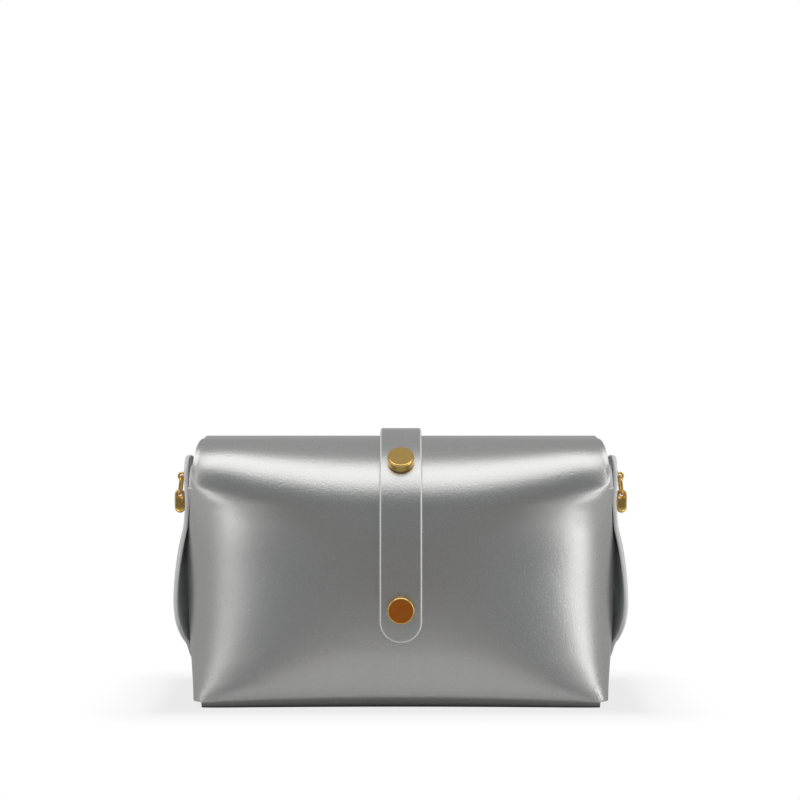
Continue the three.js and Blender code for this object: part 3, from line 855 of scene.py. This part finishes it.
def silver_leather():
    """Satin silver coat with fine grain and flakes outside, pale grey flesh side inside, pale cut edges."""
    material, tree, shader, place = blank_material("silver_leather")
    cut = ramp(tree, attribute(tree, "cut"), *CUT_SHARES)
    flesh = attribute(tree, "flesh")
    grain = noise(tree, place, GRAIN_SCALE, GRAIN_DETAIL, GRAIN_SHARPNESS)
    clouds = noise(tree, place, CLOUD_SCALE)
    coat = blend_colour(tree, clouds, COAT_DARK, COAT_LIGHT)
    coat = blend_colour(tree, ramp(tree, grain, *FLAKE_SHARES), coat, COAT_FLAKE)
    fibres = blend_colour(tree, grain, FLESH_DARK, FLESH_LIGHT)
    pale = blend_colour(tree, grain, CUT_DARK, CUT_LIGHT)
    colour = blend_colour(tree, cut, blend_colour(tree, flesh, coat, fibres), pale)
    tree.links.new(colour, shader.inputs["Base Color"])
    metallic = blend_value(tree, flesh, COAT_METALLIC, FLESH_METALLIC)
    tree.links.new(blend_value(tree, cut, metallic, CUT_METALLIC), shader.inputs["Metallic"])
    satin = ramp(tree, grain, *COAT_ROUGHNESS)
    tree.links.new(blend_value(tree, flesh, satin, FLESH_ROUGHNESS), shader.inputs["Roughness"])
    relief(tree, shader, grain, GRAIN_STRENGTH, GRAIN_HEIGHT)
    return material


def gold_metal():
    """Polished gold-coloured metal with faint wear in its gloss."""
    material, tree, shader, place = blank_material("gold_metal")
    wear = noise(tree, place, WEAR_SCALE, WEAR_DETAIL, WEAR_SHARPNESS)
    tree.links.new(blend_colour(tree, wear, GOLD_DARK, GOLD_LIGHT), shader.inputs["Base Color"])
    tree.links.new(ramp(tree, wear, *GOLD_ROUGHNESS), shader.inputs["Roughness"])
    shader.inputs["Metallic"].default_value = 1.0
    relief(tree, shader, wear, WEAR_STRENGTH, WEAR_HEIGHT)
    return material


def number(tree, operation, first, second):
    """One step of arithmetic on two number sockets."""
    made = tree.nodes.new("ShaderNodeMath")
    made.operation = operation
    tree.links.new(first, made.inputs[0])
    tree.links.new(second, made.inputs[1])
    return made.outputs["Value"]


def vector(tree, operation, first, second=(0, 0, 0)):
    """One step of arithmetic on vectors, with its vector and number outputs."""
    made = tree.nodes.new("ShaderNodeVectorMath")
    made.operation = operation
    feed(tree, made.inputs[0], first)
    feed(tree, made.inputs[1], second)
    return made.outputs


def along(tree, way, direction):
    """How far a vector goes along a direction."""
    return vector(tree, "DOT_PRODUCT", way, direction)["Value"]


def aside(tree, way):
    """How far a vector goes to either side."""
    return along(tree, vector(tree, "ABSOLUTE", way)["Vector"], (1, 0, 0))


def smooth(tree, value, low, high):
    """Smooth step from 0 at a low value to 1 at a high one."""
    made = tree.nodes.new("ShaderNodeMapRange")
    made.interpolation_type = "SMOOTHSTEP"
    made.inputs["From Min"].default_value = low
    made.inputs["From Max"].default_value = high
    tree.links.new(value, made.inputs["Value"])
    return made.outputs["Result"]


def beyond_bag(tree, place):
    """Distance of a place on the floor outside the bag's box: the length of what lies beyond it."""
    folded = vector(tree, "ABSOLUTE", place)["Vector"]
    over = vector(tree, "SUBTRACT", folded, BOXES["hide"][1] * MM)["Vector"]
    return vector(tree, "LENGTH", vector(tree, "MAXIMUM", over)["Vector"])["Value"]


def lit_corner(tree, place):
    """Share of the floor's two glowing front corners: a smooth step out to a side, times one ahead."""
    out = smooth(tree, aside(tree, place), *FLOOR_CORNER_OUT)
    ahead = smooth(tree, along(tree, place, (0, -1, 0)), *FLOOR_CORNER_AHEAD)
    return number(tree, "MULTIPLY", out, ahead)


def pale_floor():
    """Matt pale floor with a painted shadow close round the bag, which the camera sees as plain white farther
    out. Its front corners glow, in place of a floor that reaches farther and is lit more brightly there."""
    material, tree, shader, place = blank_material("pale_floor")
    distance = beyond_bag(tree, place)
    # Painted shadow: the floor's colour goes from dark at the bag's box to pale a short way out
    colour = blend_colour(tree, smooth(tree, distance, 0, FLOOR_SHADOW_REACH), FLOOR_PAINTED_SHADOW, FLOOR_PALE)
    tree.links.new(colour, shader.inputs["Base Color"])
    shader.inputs["Roughness"].default_value = FLOOR_ROUGHNESS
    corner = lit_corner(tree, place)
    glow = tree.nodes.new("ShaderNodeEmission")
    tree.links.new(ramp(tree, corner, 1, FLOOR_CORNER_GLOW), glow.inputs["Strength"])
    clear = ramp(tree, smooth(tree, distance, 0, FLOOR_CLEAR), FLOOR_WHITE_SHARE, 1)
    seen = tree.nodes.new("ShaderNodeLightPath").outputs["Is Camera Ray"]
    white = number(tree, "MULTIPLY", clear, seen)
    blend = tree.nodes.new("ShaderNodeMixShader")
    tree.links.new(number(tree, "MAXIMUM", white, corner), blend.inputs["Fac"])
    tree.links.new(shader.outputs["BSDF"], blend.inputs[1])
    tree.links.new(glow.outputs["Emission"], blend.inputs[2])
    tree.links.new(blend.outputs["Shader"], tree.nodes["Material Output"].inputs["Surface"])
    return material


def floor_piece():
    """Level floor: one rectangle under and round the bag."""
    ways_round = ((-FLOOR_SIDE, FLOOR_SIDE, FLOOR_SIDE, -FLOOR_SIDE),
                  (-FLOOR_FRONT, -FLOOR_FRONT, FLOOR_BACK, FLOOR_BACK))
    piece = mesh_piece("floor", points(*ways_round, 0) / MM, [(0, 1, 2, 3)])
    piece.data.materials.append(pale_floor())


def soft_light(name, place, size, power):
    """A rectangular soft light that looks at the bag."""
    lamp = bpy.data.lights.new(name, "AREA")
    lamp.shape = "RECTANGLE"
    lamp.size, lamp.size_y = size
    lamp.energy = power
    holder = bpy.data.objects.new(name, lamp)
    bpy.context.scene.collection.objects.link(holder)
    back = np.array(place) - np.array(AIM)
    holder.location = place
    flat = math.hypot(back[0], back[1])
    holder.rotation_euler = (math.atan2(flat, back[2]), 0, math.atan2(back[0], -back[1]))


def room_colour(tree):
    """Colour of the room by direction: grey behind the bag, darker in front of it, paler at both sides above
    level and towards the ground, and a small warm dark spot in front, a little below level."""
    way = tree.nodes.new("ShaderNodeTexCoord").outputs["Generated"]
    front = smooth(tree, along(tree, way, (0, -1, 0)), *ROOM_FRONT_SPAN)
    raised = smooth(tree, along(tree, way, (0, 0, 1)), *ROOM_SIDE_UP)
    out = smooth(tree, aside(tree, way), *ROOM_SIDE_OUT)
    low = smooth(tree, along(tree, way, (0, 0, -1)), *ROOM_LOW_SPAN)
    spot = smooth(tree, along(tree, way, ROOM_SPOT_WAY), *ROOM_SPOT_SPAN)
    walls = blend_colour(tree, front, ROOM_BACK, ROOM_FRONT)
    sides = blend_colour(tree, number(tree, "MULTIPLY", raised, out), walls, ROOM_SIDE)
    grey = blend_colour(tree, low, sides, ROOM_LOW)
    return blend_colour(tree, spot, grey, ROOM_SPOT)


def studio():
    """Soft light from above and both sides, and a grey room that the camera sees as plain white."""
    for name, (place, size, power) in LIGHTS.items():
        soft_light(name, place, size, power)
    world = bpy.data.worlds.new("studio")
    bpy.context.scene.world = world
    world.use_nodes = True
    tree = world.node_tree
    room = tree.nodes["Background"]
    tree.links.new(room_colour(tree), room.inputs["Color"])
    white = tree.nodes.new("ShaderNodeBackground")
    white.inputs["Color"].default_value = (1, 1, 1, 1)
    blend = tree.nodes.new("ShaderNodeMixShader")
    tree.links.new(tree.nodes.new("ShaderNodeLightPath").outputs["Is Camera Ray"], blend.inputs["Fac"])
    tree.links.new(room.outputs["Background"], blend.inputs[1])
    tree.links.new(white.outputs["Background"], blend.inputs[2])
    tree.links.new(blend.outputs["Shader"], tree.nodes["World Output"].inputs["Surface"])
    bpy.context.scene.view_settings.view_transform = "Standard"


def camera():
    """Camera straight in front of the studs' side, a little above the bag's top."""
    lens = bpy.data.cameras.new("camera")
    lens.sensor_width = CAMERA_SENSOR
    lens.lens = CAMERA_LENS
    holder = bpy.data.objects.new("camera", lens)
    bpy.context.scene.collection.objects.link(holder)
    holder.location = CAMERA_PLACE
    holder.rotation_euler = (CAMERA_TURN, 0, 0)
    bpy.context.scene.camera = holder


def dress(piece, material, body, node):
    """Gives a piece its finish, its CAD body and the node it stands for."""
    piece.data.materials.append(material)
    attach(piece, body)
    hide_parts(node)


camera()
studio()
floor_piece()
leather = silver_leather()
gold = gold_metal()
dress(hide_piece(), leather, "bag", "hide")
dress(strap_piece(), leather, "bag", "strap")

strap_seat = 2 * GAP + LEATHER
bend_place, bend_way = bend_station()
near_place = section(np.zeros(1), np.full(1, STUD_LEVEL), 0)[0]
flap_place = np.array((0, FLAP_DEPTH, STUD_LEVEL))
studs = {
    "stud_upper": (bend_place, bend_way),
    "stud_lower": (near_place, (0, -1, 0)),
    "stud_far": (flap_place, (0, 1, 0)),
}
for node, (stand, facing) in studs.items():
    dress(stud_piece(f"{node}_metal", stand, facing, strap_seat), gold, "bag", node)
for word, way in (("left", -1), ("right", 1)):
    hinge = RING_HINGE[f"{word}_ring"]
    dress(post_piece(f"post_{word}_metal", way, hinge), gold, "bag", f"post_{word}")
    dress(ring_piece(f"ring_{word}_metal", way, hinge), gold, f"{word}_ring", f"ring_{word}")
    dress(link_piece(f"link_{word}_metal", way, hinge), gold, f"{word}_ring", f"link_{word}")
